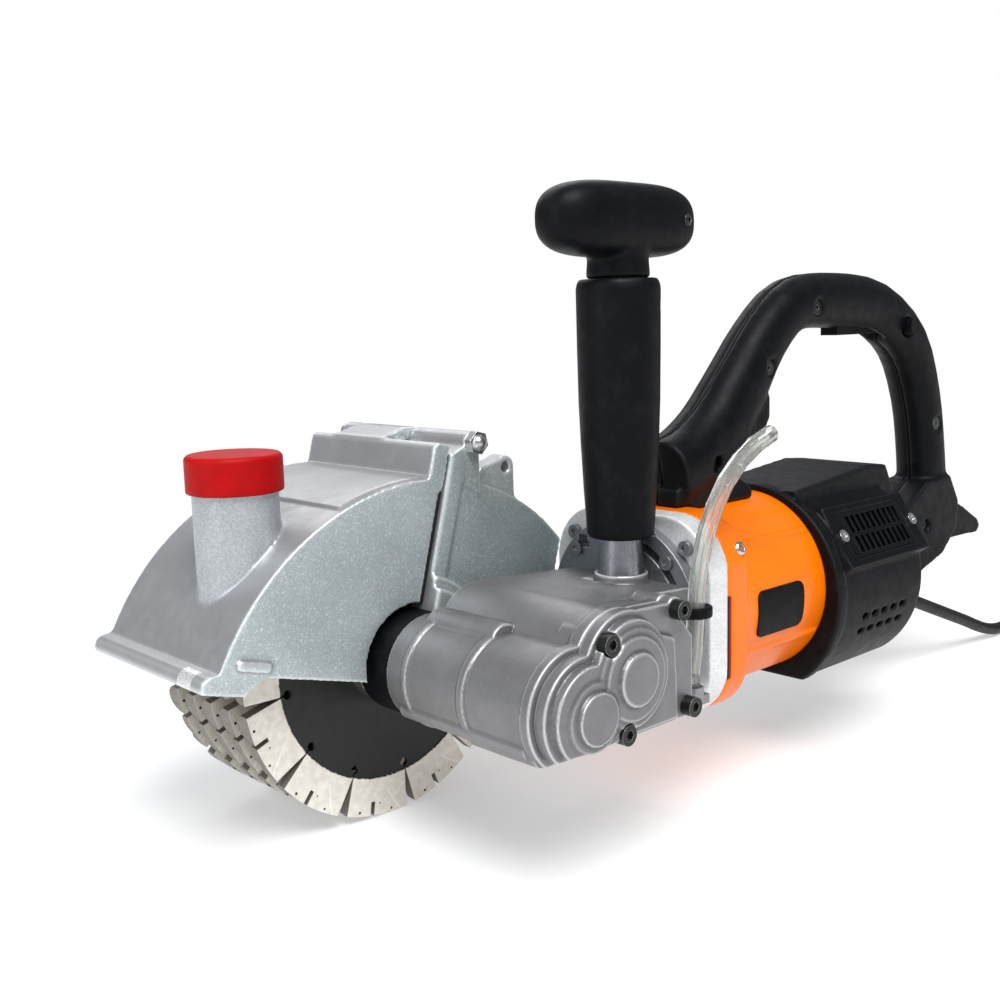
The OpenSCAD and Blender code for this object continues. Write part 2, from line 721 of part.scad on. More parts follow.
module handle_half(side) difference() {
    union() {
        handle_half_bar(side);
        // the strip on the motor housing, the base behind the rear housing and its pointed tail
        handle_block(side, 13) polygon([[113, 56], [113, 68], [148, 77], [172, 63], [172, 56]]);
        handle_block(side, 14.5) polygon([
            [rear_end - 2, -6], [rear_end - 2, 34], [318, 32], [344, 46], [372, 48], [384, 30], [382, 14],
            [366, 0], [330, -10], [rear_end + 10, -12]
        ]);
        handle_block(side, 7) polygon([
            [372, 36], [387, 31], [406, 23], [425, 13], [429, 8.5], [425, 4], [388, 5], [366, 5]
        ]);
        // the small spur inside the opening
        handle_block(side, 9) polygon([[166, 84], [189, 91], [192, 96], [192, 107], [184, 116]]);
    }
    // the seats of the motor housing and of the rear housing
    rod_x(motor_r, 100, 200);
    motor_square(46.8, 26, orange_x - 4, orange_x + 15.3);
    rod_x(rear_r + 1.5, rear_x, rear_x + 7, motor_y, rear_z);
    rear_shape(rear_r, rear_x, rear_end, 16);
    // the cavity, the trigger's slot, the lock button's bore and the screw bores
    translate([handle_cavity[0][0], motor_y - 8, handle_cavity[1][0]])
        cube([handle_cavity[0][1] - handle_cavity[0][0], 16, handle_cavity[1][1] - handle_cavity[1][0]]);
    translate([trigger_x[0] - 0.5, motor_y - 5.4, 125]) cube([trigger_x[1] - trigger_x[0] + 1, 10.8, 25]);
    rod_y(5 + gap, motor_y - 30, motor_y, button_spot[0], button_spot[1]);
    screw_spots() rod_y(2, motor_y - 30, motor_y + 11);
    screw_spots() rod_y(4, motor_y - 30, motor_y - 10);
}

module screw_spots() for (p = [[140, 78], [186, 121], [228, 150], [357, 80], [345, 20]])
    translate([p[0], 0, p[1]]) children();

module handle_left() color("black") place() handle_half(-1);

module handle_right() color("black") place() handle_half(1);

module handle_screws() color("dimgray") place() screw_spots() difference() {
    union() {
        rod_y(2, motor_y - 12, motor_y + 11);
        rod_y(3.7, motor_y - 12, motor_y - 10);
    }
    rod_y(1.4, motor_y - 13, motor_y - 11);
}

module switch_block() color("dimgray") place()
    translate([262, motor_y - 8, handle_cavity[1][1] - 10.5]) cube([34, 16, 10.5]);

module trigger() color("black") place() difference() {
    translate([trigger_x[0], motor_y - 5, trigger_z - 3]) cube([trigger_x[1] - trigger_x[0], 10, 7]);
    for (k = [0 : 5]) translate([trigger_x[0] + 7 + 7 * k, motor_y - 6, trigger_z - 4]) cube([1.5, 12, 1.6]);
}

module lock_button() color("black") place()
    rod_y(5, motor_y - grip_r - 3, motor_y - 8, button_spot[0], button_spot[1]);

// ---------- front handle ----------

module front_handle_stem() color("silver") place() translate([stem_x, stem_y, 0]) {
    translate([0, 0, stem_seat]) cylinder(r1 = 10.5, r2 = 9, h = grip_z - stem_seat);
    translate([0, 0, stem_base]) cylinder(r = 6, h = grip_top - 20 - stem_base);
}

module front_grip() color("black") place() translate([stem_x, stem_y, 0]) difference() {
    rotate_extrude() polygon([
        [6, grip_z], [13.8, grip_z], [14.9, grip_z + 1.5], [16.1, grip_z + 21], [17.1, grip_z + 41],
        [17.8, grip_z + 60], [18.1, grip_z + 82], [18.3, grip_top - 4], [17.6, grip_top - 1.2],
        [16.5, grip_top], [6, grip_top]
    ]);
    translate([14, -21, grip_top - 12]) rotate([-90, 0, 0]) cylinder(r = 3, h = 12);
}

module front_knob() color("black") place() translate([stem_x, stem_y, 0]) difference() {
    union() {
        translate([0, 0, grip_top]) cylinder(r = 13, h = 12);
        translate([0, 0, grip_top - 20]) cylinder(r = 6, h = 24);
        translate([-knob_len / 2 + knob_r, 0, knob_z]) {
            sphere(knob_r);
            rotate([0, 90, 0]) cylinder(r = knob_r, h = knob_len - 2 * knob_r);
        }
        translate([knob_len / 2 - knob_r, 0, knob_z]) sphere(knob_r);
    }
    translate([36, -22, knob_z]) rotate([-90, 0, 0]) cylinder(r = 3, h = 12);
}

// ---------- guard ----------

// The outline of the guard's drum, in its own frame
module drum(r) translate([drum_x, drum_z]) circle(r);

module half_plane(x0, x1) translate([x0, base_z]) square([x1 - x0, 200]);

module hinge_knuckle(y0, y1) {
    rod_y(hinge_r, y0, y1, hinge_x, hinge_z);
}

module front_guard() color("silver") place() difference() {
    union() {
        guard_frame() difference() {
            union() {
                along_y(guard_near, guard_far) intersection() {
                    drum(drum_r);
                    half_plane(-120, -gap);
                }
                // base lip
                along_y(guard_near, guard_far) polygon([
                    [lip_x, lip_z + 1], [lip_x + 1, lip_z], [-83, lip_z], [-76, base_z], [-84, -6], [-96, lip_z + 9],
                    [lip_x + 2, lip_z + 7], [lip_x, lip_z + 5]
                ]);
                // the raised upper part of the drum
                along_y(guard_near + 3, guard_far - 2) intersection() {
                    drum(drum_r + 1.2);
                    translate([-52, 40]) square([52 - gap, 80]);
                }
                // the upright flange along the split, and the arms of the hinge
                along_y(guard_near, guard_far) polygon([[-9, 75], [-9, flange_top - 2], [-7, flange_top],
                    [-gap, flange_top], [-gap, 75]]);
                for (y = [[19.8, 58.2]]) {
                    along_y(y[0], y[1]) polygon([[-8, flange_top - 3], [-8, flange_top], [4, hinge_z + 3.5],
                        [hinge_x, hinge_z + 5], [hinge_x, hinge_z + 1], [-gap, flange_top - 3]]);
                    hinge_knuckle(y[0], y[1]);
                }
                // small boss on the side plate
                along_y(guard_near - 2, guard_near) {
                    translate([-88, -6]) circle(2.2);
                    translate([-76, -6]) circle(2.2);
                    translate([-88, -8.2]) square([12, 4.4]);
                }
            }
            // the chamber over the blades, open below and at the split
            along_y(guard_near + wall, guard_far - wall) {
                intersection() {
                    drum(drum_r - wall);
                    translate([-120, -60]) square([121, 160]);
                }
            }
            // the groove between the two halves
            along_y(guard_near - 1, guard_near + 1.6) translate([-2.4, notch_r - 1]) square([2.4, 77 - notch_r]);
            // room for the gearbox neck
            rod_y(notch_r, guard_near - 5, guard_near + wall + 1);
            rod_y(pin_r + run, -40, 90, hinge_x, hinge_z);
        }
        // dust spout, upright when the guard is tilted
        difference() {
            translate([spout_x, spout_y, 20]) cylinder(d = spout_d, h = spout_top - 20);
            guard_frame() along_y(guard_near + wall, guard_far - wall) drum(drum_r - wall);
        }
    }
    translate([spout_x, spout_y, 0]) cylinder(r = spout_bore - 2, h = spout_top + 1);
    translate([spout_x, spout_y, spout_seat]) cylinder(r = spout_bore, h = 30);
}

module rear_guard() color("silver") place() guard_frame() difference() {
    union() {
        along_y(guard_near, guard_far) intersection() {
            drum(drum_r);
            half_plane(gap, rear_wall);
        }
        // raised band along the split, and the upright flange that meets the front half
        along_y(guard_near - 1.5, guard_near + 1) intersection() {
            drum(drum_r);
            translate([gap, notch_r]) square([9, 100]);
        }
        along_y(guard_near - 1.5, guard_far) polygon([[gap, 75], [gap, 90], [2, 92], [7, 92], [9, 90], [9, 75]]);
        for (y = [[guard_near - 1, 19.5], [58.5, 74]]) {
            hinge_knuckle(y[0], y[1]);
            along_y(y[0], y[1]) polygon([[gap, 84], [gap, 93], [hinge_x - 4.5, hinge_z - 2], [hinge_x, hinge_z],
                [hinge_x + 4.5, hinge_z - 2], [18, 92], [22, 78]]);
        }
        // lug with a hole
        along_y(-18, -8) difference() {
            union() {
                translate(lug) circle(5.5);
                polygon([[20, 76], [21, 90], [lug[0] - 1, lug[1] + 5], [lug[0] + 5.5, lug[1]], [48, 74]]);
            }
            translate(lug) circle(2.4);
        }
        // clamp boss round the neck
        along_y(guard_near - 4, guard_near + 1) intersection() {
            circle(39);
            half_plane(gap, 60);
        }
        along_y(guard_near - 8, guard_near + 1) intersection() {
            circle(34);
            half_plane(gap, 60);
        }
        along_y(guard_near + 1, -10) intersection() {
            circle(34);
            half_plane(gap, 60);
        }
    }
    difference() {
        along_y(guard_near + wall, guard_far - wall) intersection() {
            drum(drum_r - wall);
            translate([-2, -60]) square([rear_wall - wall + 2, 160]);
        }
        ring_y(34, 20, guard_near + wall - 1, -10);
    }
    rod_y(collar_r + run, -60, 0);
    rod_y(pin_r, -40, 90, hinge_x, hinge_z);
}

module hinge_pin() color("lightgray") place() guard_frame() {
    rod_y(pin_r, guard_near - 2, 75, hinge_x, hinge_z);
    translate([hinge_x, guard_near - 1, hinge_z]) rotate([90, 0, 0]) {
        cylinder(r = 5.5, h = 4, $fn = 6);
        translate([0, 0, 3]) sphere(4);
    }
    rod_y(4, 74, 76, hinge_x, hinge_z);
}

module dust_cap() color("red") place() translate([spout_x, spout_y, 0]) difference() {
    union() {
        translate([0, 0, cap_z]) cylinder(r = cap_r, h = cap_top - cap_z - 1.5);
        translate([0, 0, cap_top - 1.5]) cylinder(r1 = cap_r, r2 = cap_r - 1.5, h = 1.5);
    }
    translate([0, 0, cap_z - 1]) cylinder(r = spout_d / 2 + gap, h = spout_top + gap - cap_z + 1);
}

// ---------- hose, cord and plug ----------

// The bore starts above the lower fitting and runs out of the open upper end
module water_hose() color("lightcyan") place() difference() {
    swept_tube(hose_route, hose_r);
    swept_tube(concat([for (i = [1 : len(hose_route) - 1]) hose_route[i]], [[145, -114, 99]]), hose_bore, 8);
}

// A strap on the gearbox's corner that holds the hose
module hose_clip() color("black") place() difference() {
    union() {
        translate([79.3, -114, 21]) cylinder(r = hose_r + 3, h = 5);
        translate([70, -116, 21]) cube([9, 8, 5]);
        translate([64, -112, 23]) cube([8, 8, 4]);
    }
    translate([79.3, -114, 10]) cylinder(r = hose_r + 0.5, h = 30);
}

// The barbed inlet at the hose's lower end, on the foot
module hose_fitting() color("gray") place() {
    translate([72, -116, foot_z - 2]) cube([14, 12, 4]);
    translate([79, -111.5, foot_z + 2]) cylinder(r = 5.5, h = 4, $fn = 6);
}

module strain_relief() color("black") place() difference() {
    union() {
        cone_x(8, 5, rear_end, relief_x, motor_y, cord_z);
        rod_x(6, rear_end - 8, rear_end + 1, motor_y, cord_z);
    }
    for (k = [0 : 3]) ring_x(12, 4.4, rear_end + 8 + 6 * k, rear_end + 10 + 6 * k, motor_y, cord_z);
}

module power_cord() color("black") place() swept_tube(cord_route, cord_r);

module cord_coil() color("black") place() translate([coil_x, coil_y, floor_z]) rotate_extrude()
    translate([coil_mid - coil_half, 0]) square([2 * coil_half, coil_h]);

// A round two-pin plug, lying on the floor beside the coil
module mains_plug() color("black") place() translate([coil_x - 40, coil_y - 71, floor_z + plug_r]) {
    rotate([0, -90, 0]) cylinder(r = plug_r, h = 12);
    rotate([0, 90, 0]) cylinder(r1 = plug_r, r2 = 9, h = 22);
    translate([22, 0, 0]) rotate([0, 90, 0]) cylinder(r1 = 8, r2 = 5.5, h = 14);
    for (s = [-1, 1]) translate([-12, s * 9.5, 0]) rotate([0, -90, 0]) cylinder(r = 2.4, h = 19);
}

blade(0);  // blade_1
blade(1);  // blade_2
blade(2);  // blade_3
blade(3);  // blade_4
blade(4);  // blade_5
blade_spacers();
inner_flange();
outer_flange();
arbor_nut();
spindle_shaft();
spindle_gear();
spindle_bearings();
gear_shaft();
shaft_pinion();
bevel_gear();
gear_shaft_bearings();
rotor_shaft();
bevel_pinion();
rotor_core();
commutator();
cooling_fan();
rotor_bearings();
stator_core();
stator_windings();
brush_holders();
carbon_brushes();
gearbox_housing();
gear_cover();
cover_bolts();
neck_collar();
flange_plate();
flange_screws();
adaptor_ring();
motor_housing();
housing_screws();
label_plate();
rear_housing();
vent_grilles();
grille_screws();
handle_left();
handle_right();
handle_screws();
switch_block();
trigger();
lock_button();
front_handle_stem();
front_grip();
front_knob();
rear_guard();
front_guard();
hinge_pin();
dust_cap();
water_hose();
hose_clip();
hose_fitting();
strain_relief();
power_cord();
cord_coil();
mains_plug();
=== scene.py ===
import math

import bmesh
import bpy
from mathutils import Matrix, Vector


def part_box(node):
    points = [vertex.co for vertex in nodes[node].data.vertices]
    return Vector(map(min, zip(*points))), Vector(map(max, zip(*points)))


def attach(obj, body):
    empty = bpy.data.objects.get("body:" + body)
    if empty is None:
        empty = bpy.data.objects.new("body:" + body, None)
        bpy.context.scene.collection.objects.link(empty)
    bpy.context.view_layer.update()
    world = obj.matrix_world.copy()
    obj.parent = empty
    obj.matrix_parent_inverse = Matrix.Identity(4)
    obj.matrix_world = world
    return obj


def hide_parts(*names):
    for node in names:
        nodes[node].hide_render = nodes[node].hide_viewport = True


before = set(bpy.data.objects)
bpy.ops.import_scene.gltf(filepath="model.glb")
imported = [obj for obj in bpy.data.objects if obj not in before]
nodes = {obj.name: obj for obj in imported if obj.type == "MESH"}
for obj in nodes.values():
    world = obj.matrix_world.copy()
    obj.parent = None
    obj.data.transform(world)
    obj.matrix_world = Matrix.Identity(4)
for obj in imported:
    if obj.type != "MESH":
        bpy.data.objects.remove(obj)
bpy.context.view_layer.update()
scene = bpy.context.scene

MM = 0.001
# Blades: radii of the bore, the core and the rim, the slots' number and first angle, and the keyholes
BLADES, BLADE_PITCH, CORE_T = 5, 15, 1.8
BORE_R, CORE_R, RIM_R = 11.15, 57.7, 75.0
SLOTS, SLOT_TURN = 12, 7.5
STEP = 360 / SLOTS
KEYHOLE_AT, KEYHOLE_R = 54, 2
# The lobes of a segment's inner side: where each starts and ends along the segment, and its thickness
LOBES = ((0, 0.39, 10.0), (0.45, 0.78, 6.9), (0.78, 1, 7.6))
# Where the notch in a segment's rim starts and ends along it, and a segment's thickness at its rim and root
NOTCH = (0.388, 0.452)
RIM_T, ROOT_T = 4.4, 2.4
SEGMENT_LENGTH = 39.3
# Guard: its tilt, and the dust spout's place and radius
GUARD_TILT = 15
SPOUT_X, SPOUT_Y, SPOUT_R = -64.5, 14, 18
# Front handle: its axis, the top of the grip and the middle of the knob
STEM_X, STEM_Y, GRIP_TOP, KNOB_Z = 75.5, -75, 164.5, 188.0
# Mains cord: its radius, the floor that it lies on, and the coil's middle
CORD_R, FLOOR = 3.8, -75
COIL_X, COIL_Y = 552, -111

shaft_lo, shaft_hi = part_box("spindle_shaft")
blade_lo, blade_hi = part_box("blade_1")
ORIGIN = Vector(((shaft_lo.x + shaft_hi.x) / 2, blade_lo.y + 0.4 * MM, (shaft_lo.z + shaft_hi.z) / 2))


def pt(x, y, z):
    return ORIGIN + Vector((x, y, z)) * MM


# ---------------------------------------------------------------- camera and light

cam_data = bpy.data.cameras.new("camera")
cam_data.sensor_width = 36
cam_data.lens = 43.27
cam = bpy.data.objects.new("camera", cam_data)
scene.collection.objects.link(cam)
cam.matrix_world = Matrix.Translation(pt(-318.49, -426.22, 149.94)) @ Matrix((
    (0.73435, 0.12145, -0.66782, 0),
    (-0.67828, 0.09380, -0.72879, 0),
    (-0.02588, 0.98816, 0.15126, 0),
    (0, 0, 0, 1),
))
scene.camera = cam
scene.view_settings.view_transform = "Standard"
scene.view_settings.look = "None"

world = bpy.data.worlds.new("studio")
scene.world = world
world.use_nodes = True
sky = world.node_tree
dim = sky.nodes["Background"]
dim.inputs["Color"].default_value = (0.93, 0.95, 1.0, 1)
dim.inputs["Strength"].default_value = 0.30
pale = sky.nodes.new("ShaderNodeBackground")
pale.inputs["Color"].default_value = (1, 1, 1, 1)
seen = sky.nodes.new("ShaderNodeLightPath")
pick = sky.nodes.new("ShaderNodeMixShader")
sky.links.new(seen.outputs["Is Camera Ray"], pick.inputs[0])
sky.links.new(dim.outputs[0], pick.inputs[1])
sky.links.new(pale.outputs[0], pick.inputs[2])
sky.links.new(pick.outputs[0], sky.nodes["World Output"].inputs[0])


def softbox(name, spot, size, power, colour=(1, 1, 1)):
    light = bpy.data.lights.new(name, "AREA")
    light.shape = "RECTANGLE"
    light.size, light.size_y = size
    light.energy = power
    light.color = colour
    ob = bpy.data.objects.new(name, light)
    scene.collection.objects.link(ob)
    ob.location = pt(*spot)
    ob.rotation_euler = (pt(120, -20, 20) - ob.location).to_track_quat("-Z", "Y").to_euler()


softbox("key", (-350, -650, 1300), (0.8, 0.8), 7)
softbox("side", (-1100, 150, 600), (0.6, 1.0), 4.5, (0.93, 0.97, 1.0))
softbox("back", (600, 900, 900), (1.2, 0.6), 5)

sun_data = bpy.data.lights.new("sun", "SUN")
sun_data.energy = 2.65
sun_data.angle = math.radians(35)
sun = bpy.data.objects.new("sun", sun_data)
scene.collection.objects.link(sun)
sun.rotation_euler = (math.radians(28), math.radians(-16), 0)


# ---------------------------------------------------------------- shader helpers

class Shader:
    """A material's node tree, with texture coordinates in millimetres."""

    def __init__(self, name):
        self.mat = bpy.data.materials.new(name)
        self.mat.use_nodes = True
        self.tree = self.mat.node_tree
        self.bsdf = self.tree.nodes["Principled BSDF"]
        coord = self.add("ShaderNodeTexCoord")
        scale = self.add("ShaderNodeVectorMath", operation="SCALE")
        scale.inputs["Scale"].default_value = 1000
        self.link(coord.outputs["Object"], scale.inputs[0])
        self.mm = scale.outputs[0]
        self.normal = None

    def add(self, kind, **props):
        made = self.tree.nodes.new(kind)
        for key, value in props.items():
            setattr(made, key, value)
        return made

    def link(self, a, b):
        self.tree.links.new(a, b)

    def value(self, socket, value):
        if isinstance(value, bpy.types.NodeSocket):
            self.link(value, socket)
        else:
            socket.default_value = value

    def stretch(self, x, y, z):
        """The coordinates, scaled along each axis."""
        made = self.add("ShaderNodeVectorMath", operation="MULTIPLY")
        self.link(self.mm, made.inputs[0])
        made.inputs[1].default_value = (x, y, z)
        return made.outputs[0]

    def from_origin(self):
        """X, Y and Z in the modelling frame."""
        centre = self.add("ShaderNodeVectorMath", operation="SUBTRACT")
        self.link(self.mm, centre.inputs[0])
        centre.inputs[1].default_value = ORIGIN * 1000
        parts = self.add("ShaderNodeSeparateXYZ")
        self.link(centre.outputs[0], parts.inputs[0])
        return parts.outputs

    def scaled(self, colour, factor):
        """A colour times a factor."""
        made = self.add("ShaderNodeVectorMath", operation="SCALE")
        self.value(made.inputs[0], colour)
        self.link(factor, made.inputs["Scale"])
        return made.outputs[0]

    def noise(self, size, detail=3.0, rough=0.55, vector=None):
        made = self.add("ShaderNodeTexNoise")
        self.link(vector or self.mm, made.inputs["Vector"])
        made.inputs["Scale"].default_value = 1 / size
        made.inputs["Detail"].default_value = detail
        made.inputs["Roughness"].default_value = rough
        return made.outputs[0]

    def cells(self, size):
        """Cells that each have one random colour."""
        made = self.add("ShaderNodeTexVoronoi")
        self.link(self.mm, made.inputs["Vector"])
        made.inputs["Scale"].default_value = 1 / size
        return made.outputs["Color"]

    def math(self, op, a, b=0.0):
        made = self.add("ShaderNodeMath", operation=op)
        self.value(made.inputs[0], a)
        self.value(made.inputs[1], b)
        return made.outputs[0]

    def hypot(self, a, b):
        return self.math("SQRT", self.math("ADD", self.math("MULTIPLY", a, a), self.math("MULTIPLY", b, b)))

    def span(self, fac, low, high, to_low=0.0, to_high=1.0):
        made = self.add("ShaderNodeMapRange")
        self.value(made.inputs["Value"], fac)
        for key, value in (("From Min", low), ("From Max", high), ("To Min", to_low), ("To Max", to_high)):
            made.inputs[key].default_value = value
        return made.outputs["Result"]

    def mix(self, fac, a, b):
        made = self.add("ShaderNodeMix", data_type="RGBA")
        self.value(made.inputs["Factor"], fac)
        for socket, value in ((made.inputs[6], a), (made.inputs[7], b)):
            self.value(socket, value if isinstance(value, bpy.types.NodeSocket) else (*value, 1))
        return made.outputs[2]

    def round_edges(self, radius):
        """Edges shaded as if rounded, and a mask that is 1 on them."""
        bevel = self.add("ShaderNodeBevel", samples=4)
        bevel.inputs["Radius"].default_value = radius * MM
        self.normal = bevel.outputs[0]
        geometry = self.add("ShaderNodeNewGeometry")
        dot = self.add("ShaderNodeVectorMath", operation="DOT_PRODUCT")
        self.link(bevel.outputs[0], dot.inputs[0])
        self.link(geometry.outputs["Normal"], dot.inputs[1])
        return self.span(dot.outputs["Value"], 0.985, 0.80)

    def convex(self, low=0.51, high=0.58):
        """A mask of raised edges on a dense mesh."""
        geometry = self.add("ShaderNodeNewGeometry")
        return self.span(geometry.outputs["Pointiness"], low, high)

    def bump(self, height, distance, strength):
        made = self.add("ShaderNodeBump")
        made.inputs["Strength"].default_value = strength
        made.inputs["Distance"].default_value = distance * MM
        self.value(made.inputs["Height"], height)
        if self.normal is not None:
            self.link(self.normal, made.inputs["Normal"])
        self.normal = made.outputs[0]

    def done(self, colour, rough, metallic=0.0, **others):
        linked = isinstance(colour, bpy.types.NodeSocket)
        self.value(self.bsdf.inputs["Base Color"], colour if linked else (*colour, 1))
        self.value(self.bsdf.inputs["Roughness"], rough)
        self.value(self.bsdf.inputs["Metallic"], metallic)
        for key, value in others.items():
            self.bsdf.inputs[key.replace("_", " ")].default_value = value
        if self.normal is not None:
            self.link(self.normal, self.bsdf.inputs["Normal"])
        return self.mat


def cast_metal(name, colour, rough, sparkle, grain, dense=True, shine=0.7):
    """Cast aluminium: fine sparkling grains, faint mottling, bright edges, and painted shade darkening the
    hollows.
    """
    s = Shader(name)
    edge = s.convex(0.506, 0.545) if dense else s.round_edges(0.7)
    fleck = s.span(s.cells(grain), 0.2, 0.85, 1 - sparkle, 1 + sparkle)
    mottle = s.span(s.noise(14, 4), 0.3, 0.7, 0.93, 1.06)
    tone = s.scaled(colour, s.math("MULTIPLY", fleck, mottle))
    if dense:
        # painted shade: the hollows and creases are darkened towards a third of the colour
        painted_hollow_shade = s.convex(0.494, 0.465)
        tone = s.mix(s.math("MULTIPLY", painted_hollow_shade, 0.7), tone, tuple(c * 0.35 for c in colour))
    tone = s.mix(s.math("MULTIPLY", edge, 0.9), tone, tuple(min(1, c * 1.5 + 0.35) for c in colour))
    s.bump(s.noise(grain * 0.9, 4, 0.6), 0.09 + sparkle * 0.25, 0.55)
    s.bump(s.noise(22, 2), 0.5, 0.35)
    gloss = s.span(s.noise(5, 3), 0.3, 0.7, rough - 0.06, rough + 0.07)
    return s.done(tone, gloss, shine, Specular_IOR_Level=0.6)


def guard_metal():
    """The guard's casting: sparkling blue-grey side walls, a smoother drum and a bright spout."""
    s = Shader("guard_casting")
    edge = s.convex(0.506, 0.545)
    coord = s.add("ShaderNodeTexCoord")
    facing = s.add("ShaderNodeSeparateXYZ")
    s.link(coord.outputs["Normal"], facing.inputs[0])
    side = s.span(s.math("ABSOLUTE", facing.outputs[1]), 0.75, 0.95)
    x, y = s.from_origin()[:2]
    away = s.hypot(s.math("SUBTRACT", x, SPOUT_X), s.math("SUBTRACT", y, SPOUT_Y))
    spout = s.span(away, SPOUT_R + 0.2, SPOUT_R + 1.4, 1, 0)
    glint = s.cells(0.62)
    mottle = s.span(s.noise(16, 4), 0.3, 0.7, 0.94, 1.05)
    few = s.math("MULTIPLY", s.span(glint, 0.55, 0.9), 0.12)
    plain = s.mix(few, (0.37, 0.375, 0.385), (0.6, 0.6, 0.62))
    spark = s.mix(s.span(glint, 0.25, 0.75), (0.45, 0.515, 0.53), (0.54, 0.605, 0.615))
    spark = s.mix(s.math("MULTIPLY", s.span(glint, 0.72, 0.84), 0.6), spark, (0.80, 0.86, 0.86))
    bright = s.mix(s.span(glint, 0.3, 0.8), (0.40, 0.425, 0.445), (0.52, 0.55, 0.57))
    tone = s.mix(spout, s.mix(side, plain, spark), bright)
    # the bare patch at the near end of the base lip
    across = s.math("ABSOLUTE", s.math("ADD", y, 5.5))
    pad = s.math("MULTIPLY", s.span(x, -98.5, -98.2, 1, 0), s.span(across, 5.3, 5.6, 1, 0))
    patch = s.mix(s.span(s.cells(0.55), 0.3, 0.7), (0.52, 0.53, 0.54), (0.86, 0.87, 0.87))
    tone = s.scaled(s.mix(pad, tone, patch), mottle)
    tone = s.mix(s.math("MULTIPLY", edge, 0.85), tone, (0.80, 0.85, 0.85))
    rough_side = s.math("ADD", s.math("MULTIPLY", side, 0.7), 0.3)
    s.bump(s.math("MULTIPLY", s.noise(0.7, 4, 0.6), rough_side), 0.14, 0.5)
    s.bump(s.noise(24, 2), 0.5, 0.35)
    gloss = s.span(s.noise(6, 3), 0.3, 0.7, 0.33, 0.45)
    return s.done(tone, gloss, 0.6, Specular_IOR_Level=0.6)


def steel(name, colour, rough, stretch=(1, 1, 1), metallic=1.0):
    """Machined steel with fine tool marks along one axis."""
    s = Shader(name)
    edge = s.round_edges(0.35)
    marks = s.noise(0.5, 3, 0.7, s.stretch(*stretch))
    tone = s.mix(s.span(s.noise(6, 3), 0.35, 0.7), colour, tuple(c * 0.8 for c in colour))
    tone = s.mix(s.math("MULTIPLY", edge, 0.5), tone, (0.9, 0.9, 0.9))
    s.bump(marks, 0.03, 0.5)
    return s.done(tone, s.span(marks, 0.3, 0.7, rough - 0.05, rough + 0.1), metallic)


def moulded(name, colour, rough, grain=0.5, depth=0.05, edge_light=0.25, dense=False, **others):
    """Moulded plastic or rubber with a spark-eroded texture, faint rubbed edges and a little dust."""
    s = Shader(name)
    edge = s.convex() if dense else s.round_edges(0.8)
    dust = s.span(s.noise(9, 5, 0.65), 0.52, 0.75)
    light = tuple(c + (0.35 - c) * 0.2 for c in colour)
    tone = s.mix(s.math("MULTIPLY", dust, 0.08), colour, light)
    tone = s.mix(s.math("MULTIPLY", edge, edge_light), tone, light)
    s.bump(s.noise(grain, 2, 0.6), depth, 0.7)
    gloss = s.span(s.noise(6, 4), 0.3, 0.7, rough - 0.05, rough + 0.07)
    return s.done(tone, gloss, 0.0, **others)


def enamel(name, colour):
    """Glossy enamel over a casting, with a slight orange-peel surface and rubbed edges."""
    s = Shader(name)
    edge = s.round_edges(0.8)
    tone = s.mix(s.span(s.noise(18, 3), 0.35, 0.7), colour, tuple(c * 0.9 for c in colour))
    tone = s.mix(s.math("MULTIPLY", edge, 0.35), tone, (1.0, 0.62, 0.25))
    s.bump(s.noise(1.6, 2), 0.035, 0.5)
    return s.done(tone, s.span(s.noise(7, 3), 0.3, 0.7, 0.3, 0.4), 0.0,
                  Coat_Weight=0.2, Coat_Roughness=0.2, Specular_IOR_Level=0.25)


